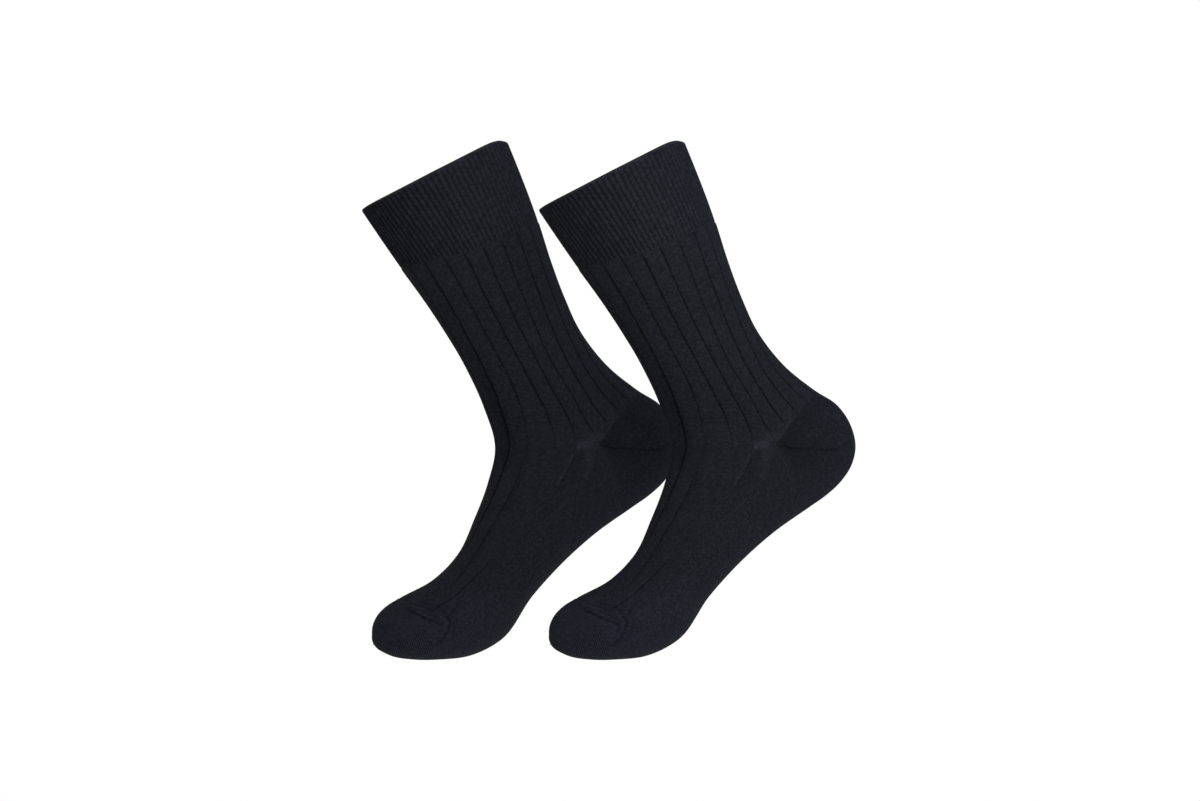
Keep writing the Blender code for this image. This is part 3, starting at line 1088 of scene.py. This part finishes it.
def wide_rib_columns():
    """Rib numbers of the columns of points, closest together at the grooves."""
    in_a_rib = np.array([0.0, 0.22, 0.45, 0.72, 1.1, 1.7, 2.4, 3.2])
    offsets = np.concatenate([in_a_rib, [4.0], STITCHES_A_RIB - in_a_rib[:0:-1]]) / STITCHES_A_RIB
    ribs = (np.arange(RIBS)[:, None] + offsets[None, :]).ravel() + FIRST_RIB
    return np.append(ribs, FIRST_RIB + RIBS)


def stitches_from_groove(ribs):
    """How many stitches each column stands from its nearest groove, and that groove's number."""
    nearest = np.round(ribs)
    return np.abs(ribs - nearest) * STITCHES_A_RIB, np.mod(nearest, RIBS).astype(int)


def wide_rib_lift(places, ribs, knitting):
    """(height of the wide ribs, how far each point is sunk) at each place and column. The second
    paints shade into the grooves.
    """
    away, groove = stitches_from_groove(ribs)
    depths = groove_depths(places)
    here = depths[:, groove]
    low, high = np.floor(ribs).astype(int) % RIBS, np.ceil(ribs).astype(int) % RIBS
    share = eased(ribs - np.floor(ribs), 0.0, 1.0)
    between = depths[:, low] * (1.0 - share) + depths[:, high] * share
    crown = np.sin(math.pi * away / STITCHES_A_RIB) ** 0.8
    # Just under the cuff each rib starts as an arch.
    arch = 1.0 - eased(places, 1.02, 1.22)
    narrow, broad = hump(away, 0.36), hump(away, 1.2 + 1.1 * arch[:, None])
    lift = knitting.rib_crown * crown * between
    lift = lift - knitting.groove_depth * here * (0.8 * narrow + 0.2 * broad)
    return lift, here * hump(away, 0.42)


def pinned(base):
    """0 at the side points, where leg, heel and foot all meet, and 1 a few millimetres away."""
    share = np.ones(base.shape[:-1])
    for quarter in (0.5, -0.5):
        corner = leg_form(np.array([LEG_ENDS]), np.array([[quarter * math.pi]]))[0, 0]
        share *= eased(np.linalg.norm(base - corner, axis=-1), 0.3 * MM, 3.5 * MM)
    return share


def from_the_front(angles):
    """How far round from the front each angle is, in degrees, on whichever side it is."""
    around = np.mod(np.degrees(angles), 360.0)
    return np.minimum(around, 360.0 - around)


def coolness(places, angles):
    """How much cooler tint the yarn has: towards the toes, and down the back as painted light."""
    towards_toes = eased(places, 8.0, 11.6)[:, None]
    painted_back_light = eased(from_the_front(angles), 115.0, 165.0)
    return 0.85 * towards_toes + 0.35 * (1.0 - towards_toes) * painted_back_light


def leg_tone_and_painted_shade(places, angles):
    """The leg is painted darker down the front, painted shade where it faces away from the lamps,
    and lighter under the cuff and where the heel pocket ends its ribs."""
    around = from_the_front(angles)
    # painted shade down the front of the leg
    painted_front_shade = (1.0 - eased(places, 5.4, 7.0))[:, None] * (1.0 - eased(around, 22.0, 62.0))
    near_end = eased(places, 5.5, 5.9) * (1.0 - eased(places, 6.0, 6.05))
    share = eased(around, 88.0, 94.0) * (1.0 - 0.7 * eased(around, 106.0, 126.0))
    below_cuff = 0.1 * (1.0 - eased(places, 1.0, 2.5))[:, None]
    return 0.13 * near_end[:, None] * share + below_cuff - 0.24 * painted_front_shade


def wale_numbers(ribs):
    """The number of the stitch at each rib number."""
    return (ribs - FIRST_RIB) * STITCHES_A_RIB


def body_face(form, places, ribs, knitting, first_course, courses):
    """The outer face of the leg or foot."""
    rows = with_extra_rows(places)
    angles = rib_angles(rows, ribs)
    base = form(rows, angles)
    lift, sunk = wide_rib_lift(rows, ribs, knitting)
    fold_lift, shade = folded(BODY_FOLDS, body_form, base)
    lift = (knitting.fullness + lift + fold_lift) * pinned(base)
    points = base + directions(base, True) * lift[..., None]
    course = first_course + courses * np.linspace(0.0, 1.0, len(places))
    tone = shade + leg_tone_and_painted_shade(rows, angles)
    cool = coolness(rows, angles)
    return outer_face(points, directions(points, True), wale_numbers(ribs), course, cool, sunk, tone)


class SOCK_OT_cuffs(bpy.types.Operator):
    """Knit the cuffs: a 1x1 rib with a plain rolled edge at the open top"""

    bl_idname = "sock.cuffs"
    bl_label = "Cuffs"

    def execute(self, context):
        knitting = context.scene.sock_knitting
        in_a_pair = np.array([0.0, 0.3, 0.62, 1.0, 1.38, 1.7]) / STITCHES_A_RIB
        pairs = RIBS * STITCHES_A_RIB // 2
        ribs = (np.arange(pairs)[:, None] * 2.0 / STITCHES_A_RIB + in_a_pair[None, :]).ravel()
        ribs = np.append(ribs, float(RIBS)) + FIRST_RIB
        # Rows are closer together at the edge, which rolls over.
        places = np.concatenate([np.linspace(0.0, 0.05, 8)[:-1], np.linspace(0.05, 1.0, 42)])
        rows = with_extra_rows(places)
        angles = rib_angles(rows, ribs)
        from_front = from_the_front(angles)
        base = cuff_form(rows, angles)
        from_top = np.clip(rows, 0.0, 1.0)[:, None] * CUFF_DEPTH
        from_end = np.clip(1.0 - rows, 0.0, 1.0)[:, None] * CUFF_DEPTH

        stitches = np.mod(wale_numbers(ribs), 2.0)
        away = np.minimum(stitches, 2.0 - stitches)
        ribbed = eased(from_top, 0.5 * MM, 2.4 * MM) * eased(from_end, 0.0, 1.5 * MM)
        # Round the calf the rib is pulled open.
        open_rib = eased(from_front, 40.0, 120.0)
        sunk = hump(away, 0.48)[None, :] * ribbed * (1.25 - 0.45 * open_rib)
        rolled = np.clip(1.0 - from_top / CUFF_ROLL_REACH, 0.0, 1.0)
        lift = (
            knitting.fullness
            - knitting.cuff_groove_depth * sunk
            - CUFF_ROLL_IN * (1.0 - np.sqrt(1.0 - rolled**2 * 0.98))
            - CUFF_END_IN * (1.0 - eased(from_end, 0.0, 1.6 * MM))
        )
        points = base + directions(base, True) * lift[..., None]
        # Painted light: a painted highlight on the rolled edge, and painted shade down the front,
        # where the cuff faces away from the lamps; it is a little lighter round the back, where its
        # rib opens.
        rim = 1.0 - eased(from_top, 0.6 * MM, 2.0 * MM)
        closed = 1.0 - eased(from_front, 25.0, 80.0)
        tone = 0.18 * rim + 0.05 * open_rib - 0.28 * closed
        course = np.clip(rows, 0.0, 1.0)[1:-1] * CUFF_DEPTH / knitting.course_height
        out = directions(points, True)
        cool = coolness(rows, angles)
        outer = outer_face(points, out, wale_numbers(ribs), course, cool, sunk, tone)
        inner = inside_of(outer, knitting.cuff_thickness, 3)
        upward = outer.points[0] - outer.points[1]
        upward /= np.linalg.norm(upward, axis=-1, keepdims=True)
        edge = rounded_edge(rows_of(inner, -1), rows_of(outer, 0), upward, 4)
        mesh = cloth_mesh("sock_cuff", [outer, inner, edge], True, True)
        place_piece("cuff", mesh)
        return {"FINISHED"}


class SOCK_OT_legs(bpy.types.Operator):
    """Knit the legs: 20 wide ribs, twisted a little round the leg, down to the ankle"""

    bl_idname = "sock.legs"
    bl_label = "Legs"

    def execute(self, context):
        knitting = context.scene.sock_knitting
        ribs = wide_rib_columns()
        places = even_places(leg_form, LEG_TOP, LEG_ENDS, 120)
        courses = LEG_LENGTH / knitting.course_height
        outer = body_face(leg_form, places, ribs, knitting, 0.0, courses)
        tucked = LEG_TUCK * (1.0 - eased(places, 0.99, 1.03))
        outer = outer._replace(points=outer.points - outer.out * tucked[:, None, None])
        inner = inside_of(outer, knitting.cloth_thickness, 6)
        mesh = cloth_mesh("sock_leg", [outer, inner], True, True)
        place_piece("leg", mesh)
        return {"FINISHED"}


class SOCK_OT_heels(bpy.types.Operator):
    """Knit the heel pockets: plain, close cloth with a gore line across each side"""

    bl_idname = "sock.heels"
    bl_label = "Heels"

    def execute(self, context):
        knitting = context.scene.sock_knitting
        # The heel starts a hair behind the side points, where its courses meet.
        angles_once = np.radians(np.linspace(90.04, 269.96, 150))
        turns = np.linspace(0.0, 1.0, 72)
        rows = with_extra_rows(turns)
        angles = np.tile(angles_once, (len(rows), 1))
        from_front = from_the_front(angles)
        base = heel_form(rows, angles)

        # The gore line, as the turn that it has reached at each angle, dotted towards the back.
        gore_turn = through_table(
            [90.0, 97.0, 105.0, 113.0, 124.0, 142.0, 180.0],
            [0.6, 0.57, 0.52, 0.49, 0.475, 0.45, 0.44],
            from_front.ravel(),
        ).reshape(from_front.shape)
        reach = 0.014 + 0.03 * (1.0 - eased(from_front, 92.0, 108.0))
        dots = 0.62 + 0.38 * np.cos(np.radians(from_front) * 2.0 * math.pi / math.radians(4.0))
        gore = hump(rows[:, None] - gore_turn, reach) * (1.0 - eased(from_front, 138.0, 146.0))
        gore = gore * np.where(from_front > 108.0, dots, 1.0)
        fold_lift, shade = folded(BODY_FOLDS, body_form, base)
        lift = (knitting.fullness + fold_lift - GORE_DEPTH * gore) * pinned(base)

        # Where the courses meet at the side point, the cloth faces straight out to that side.
        straight = (1.0 - eased(from_front, 92.0, 97.0))[..., None]
        side_out = np.zeros(base.shape)
        side_out[..., 1] = -np.sign(np.sin(angles))
        base_out = directions(base, False) * (1.0 - straight) + side_out * straight
        points = base + base_out * lift[..., None]
        out = directions(points, False) * (1.0 - straight) + side_out * straight
        out /= np.linalg.norm(out, axis=-1, keepdims=True)
        outer = outer_face(
            points,
            out,
            angles_once / RIB_TURN * STITCHES_A_RIB,
            turns * HEEL_LENGTH / knitting.course_height,
            coolness(np.full(len(rows), float(LEG_ENDS)), angles),
            # painted shade in the gore line's groove, through the sunk mark
            1.1 * gore,
            shade + 0.13 * eased(rows, 0.62, 1.0)[:, None],
        )
        inner = inside_of(outer, knitting.cloth_thickness, 1)
        mesh = cloth_mesh("sock_heel", [outer, inner], False, True)
        place_piece("heel", mesh)
        return {"FINISHED"}


class SOCK_OT_feet(bpy.types.Operator):
    """Knit the feet: a plain sole and an instep that keeps some of the leg's grooves"""

    bl_idname = "sock.feet"
    bl_label = "Feet"

    def execute(self, context):
        knitting = context.scene.sock_knitting
        ribs = wide_rib_columns()
        places = even_places(foot_form, LEG_ENDS, FOOT_ENDS, 124)
        first = LEG_LENGTH / knitting.course_height
        courses = FOOT_LENGTH / knitting.course_height
        outer = body_face(foot_form, places, ribs, knitting, first, courses)
        inner = inside_of(outer, knitting.cloth_thickness, 6)
        mesh = cloth_mesh("sock_foot", [outer, inner], True, True)
        place_piece("foot", mesh)
        return {"FINISHED"}


class SOCK_OT_toes(bpy.types.Operator):
    """Knit the toe pockets, with their sewn seams, knots and gathers"""

    bl_idname = "sock.toes"
    bl_label = "Toes"

    def execute(self, context):
        knitting = context.scene.sock_knitting
        first_angle = FIRST_RIB * RIB_TURN
        angles_once = first_angle + np.radians(np.linspace(0.0, 360.0, 321))
        # Rows are closer together at the seam, the gathers and the gore lines.
        places = np.concatenate(
            [
                np.linspace(FOOT_ENDS, FOOT_ENDS + 1.2, 34)[:-1],
                np.linspace(FOOT_ENDS + 1.2, TOE_ENDS + 0.96, 50),
            ]
        )
        rows = with_extra_rows(places)
        angles = np.tile(angles_once, (len(rows), 1))
        base = toe_form(rows, angles)
        lift, shade = folded(TOE_FOLDS, toe_form, base)
        knot = np.zeros(lift.shape)
        for angle in KNOT_ANGLES:
            spot = toe_form(np.array([KNOT_PLACE]), np.radians([[angle]]))[0, 0]
            knot += hump(np.linalg.norm(base - spot, axis=-1), KNOT_REACH)
        lift = knitting.fullness + lift + KNOT_HEIGHT * knot
        points = base + directions(base, True) * lift[..., None]

        # The courses stand out under the toes.
        around = np.degrees(angles)
        under = eased(around, 84.0, 100.0) * (1.0 - eased(around, 260.0, 276.0))
        lined = under * eased(rows, 11.9, 12.3)[:, None] * (1.0 - eased(rows, 14.5, 15.0)[:, None])
        lengths = BACK_LINE.lengths[-len(TOE) + 1 :, 0] * MM
        down_the_sole = np.concatenate([[0.0], np.cumsum(lengths), [lengths.sum() + TIP_LENGTH]])
        course = np.interp(places, FOOT_ENDS + np.arange(len(down_the_sole)), down_the_sole)
        outer = outer_face(
            points,
            directions(points, True),
            (angles_once - first_angle) / RIB_TURN * STITCHES_A_RIB,
            course / (TOE_COURSE * knitting.course_height),
            coolness(rows, angles),
            # the knots are darker too, through the sunk mark
            0.8 * np.clip(knot, 0.0, 1.0),
            shade,
            lined,
        )
        inner = inside_of(outer, knitting.cloth_thickness, 3)
        tip = toe_form(np.array([TOE_ENDS + 1.0]), np.zeros((1, 1)))[0, 0]
        inward = outer.out[-1].mean(axis=0)
        inward /= np.linalg.norm(inward)
        tips = (tip, tip - inward * knitting.cloth_thickness)
        upside_down = slice(None, None, -1)
        stack = [rows_of(outer, upside_down), rows_of(inner, upside_down)]
        mesh = cloth_mesh("sock_toe", stack, True, False, tips)
        place_piece("toe", mesh)
        return {"FINISHED"}


class Softbox(NamedTuple):
    """A square lamp that faces the socks, in metres and watts."""

    name: str
    place: tuple
    size: float
    power: float
    colour: tuple


SOFTBOXES = (
    Softbox("front_softbox", (0.35, -2.4, 0.1), 1.4, 31.0, (1.0, 0.99, 0.98)),
    Softbox("side_softbox", (2.2, -0.6, 0.4), 1.2, 21.0, (0.84, 0.92, 1.0)),
    Softbox("top_softbox", (-0.9, -1.0, 2.0), 1.4, 14.0, (1.0, 1.0, 1.0)),
)
FLOOR_RADIUS = 2.6
# The backdrop's width, its height and how far it stands behind the near sock.
BACKDROP = (2.4, 1.8, 6.0)
# The middle of the view, along X and up.
VIEW_MIDDLE = (-10.5 * MM, -166.1 * MM)


def place_softbox(softbox, target):
    """Hangs a lamp and turns it to face the target."""
    lamp = bpy.data.lights.new(softbox.name, "AREA")
    lamp.shape = "RECTANGLE"
    lamp.size = lamp.size_y = softbox.size
    lamp.energy = softbox.power
    lamp.color = softbox.colour
    holder = bpy.data.objects.new(softbox.name, lamp)
    holder.location = softbox.place
    aim = np.array(softbox.place) - target
    tilt = math.atan2(math.hypot(aim[0], aim[1]), aim[2])
    holder.rotation_euler = (tilt, 0.0, math.atan2(aim[0], -aim[1]))
    bpy.context.scene.collection.objects.link(holder)


def stage_sheet(name, corners, material):
    """Adds a flat sheet that belongs to the stage."""
    mesh = bpy.data.meshes.new(name)
    mesh.from_pydata(corners, [], [tuple(range(len(corners)))])
    mesh.materials.append(material)
    sheet = bpy.data.objects.new(name, mesh)
    bpy.context.scene.collection.objects.link(sheet)


class SOCK_OT_stage(bpy.types.Operator):
    """Set out the floor, the lights and the camera"""

    bl_idname = "sock.stage"
    bl_label = "Stage"

    def execute(self, context):
        scene = context.scene
        stage = scene.sock_stage
        low, high = np.array(CAD_BOX[0]), np.array(CAD_BOX[1])
        middle = (low + high) / 2.0
        floor_z = low[2] - stage.floor_drop

        # The floor is a wide round sheet.
        shader = Shader("pale_floor")
        grain = shader.node("ShaderNodeTexNoise", {}, {"Scale": 6.0, "Detail": 3.0}, "Fac")
        paper = shader.node(
            "ShaderNodeBsdfPrincipled",
            {},
            {
                "Base Color": (0.9, 0.9, 0.9, 1.0),
                "Roughness": 0.75 + 0.1 * grain,
                "Emission Color": (0.88, 0.94, 1.0, 1.0),
                "Emission Strength": 0.1,
            },
            "BSDF",
        )
        shader.node("ShaderNodeOutputMaterial", {}, {"Surface": paper}, None)
        turns = np.linspace(0.0, 2.0 * math.pi, 97)[:-1]
        rim = [
            (FLOOR_RADIUS * math.cos(t) + middle[0], FLOOR_RADIUS * math.sin(t) + middle[1], floor_z)
            for t in turns
        ]
        stage_sheet("floor", rim, shader.material)

        # The backdrop is a lit white sheet, well behind the socks.
        backdrop = Shader("white_backdrop")
        lit = backdrop.node("ShaderNodeEmission", {}, {"Color": (1.0, 1.0, 1.0, 1.0)}, "Emission")
        backdrop.node("ShaderNodeOutputMaterial", {}, {"Surface": lit}, None)
        wide, tall, behind = BACKDROP
        corners = [
            (middle[0] + side * wide / 2.0, behind, middle[2] + up * tall / 2.0)
            for side, up in ((-1, -1), (1, -1), (1, 1), (-1, 1))
        ]
        stage_sheet("backdrop", corners, backdrop.material)

        world = bpy.data.worlds.new("daylight")
        world.use_nodes = True
        sky = world.node_tree.nodes["Background"]
        sky.inputs["Color"].default_value = (1.0, 1.0, 1.0, 1.0)
        sky.inputs["Strength"].default_value = stage.daylight
        scene.world = world

        for softbox in SOFTBOXES:
            place_softbox(softbox, middle)

        camera_data = bpy.data.cameras.new("camera")
        camera_data.type = "ORTHO"
        camera_data.ortho_scale = stage.view_width
        camera_data.clip_end = 100.0
        camera = bpy.data.objects.new("camera", camera_data)
        camera.location = (VIEW_MIDDLE[0], -stage.camera_distance, VIEW_MIDDLE[1])
        camera.rotation_euler = (math.pi / 2.0, 0.0, 0.0)
        scene.collection.objects.link(camera)
        scene.camera = camera
        scene.view_settings.view_transform = "Standard"
        scene.view_settings.look = "None"
        scene.view_settings.exposure = 0.0
        scene.view_settings.gamma = 1.0
        return {"FINISHED"}


class SOCK_PT_panel(bpy.types.Panel):
    """Lists the sock pair's settings and builders"""

    bl_idname = "SOCK_PT_panel"
    bl_label = "Ribbed Crew Socks"
    bl_space_type = "VIEW_3D"
    bl_region_type = "UI"
    bl_category = "Socks"

    def draw(self, context):
        layout = self.layout
        for group in (
            context.scene.sock_yarn,
            context.scene.sock_knitting,
            context.scene.sock_stage,
        ):
            box = layout.box()
            for name in group.__annotations__:
                box.prop(group, name)
        for operator in OPERATORS:
            layout.operator(operator.bl_idname)


GROUPS = (SockYarn, SockKnitting, SockStage)
OPERATORS = (
    SOCK_OT_cuffs,
    SOCK_OT_legs,
    SOCK_OT_heels,
    SOCK_OT_feet,
    SOCK_OT_toes,
    SOCK_OT_stage,
)


def register():
    for group in (*GROUPS, *OPERATORS, SOCK_PT_panel):
        bpy.utils.register_class(group)
    bpy.types.Scene.sock_yarn = bpy.props.PointerProperty(type=SockYarn)
    bpy.types.Scene.sock_knitting = bpy.props.PointerProperty(type=SockKnitting)
    bpy.types.Scene.sock_stage = bpy.props.PointerProperty(type=SockStage)


def unregister():
    del bpy.types.Scene.sock_stage
    del bpy.types.Scene.sock_knitting
    del bpy.types.Scene.sock_yarn
    for group in reversed((*GROUPS, *OPERATORS, SOCK_PT_panel)):
        bpy.utils.unregister_class(group)


def main():
    register()
    bpy.ops.sock.cuffs()
    bpy.ops.sock.legs()
    bpy.ops.sock.heels()
    bpy.ops.sock.feet()
    bpy.ops.sock.toes()
    bpy.ops.sock.stage()


if __name__ == "__main__":
    main()
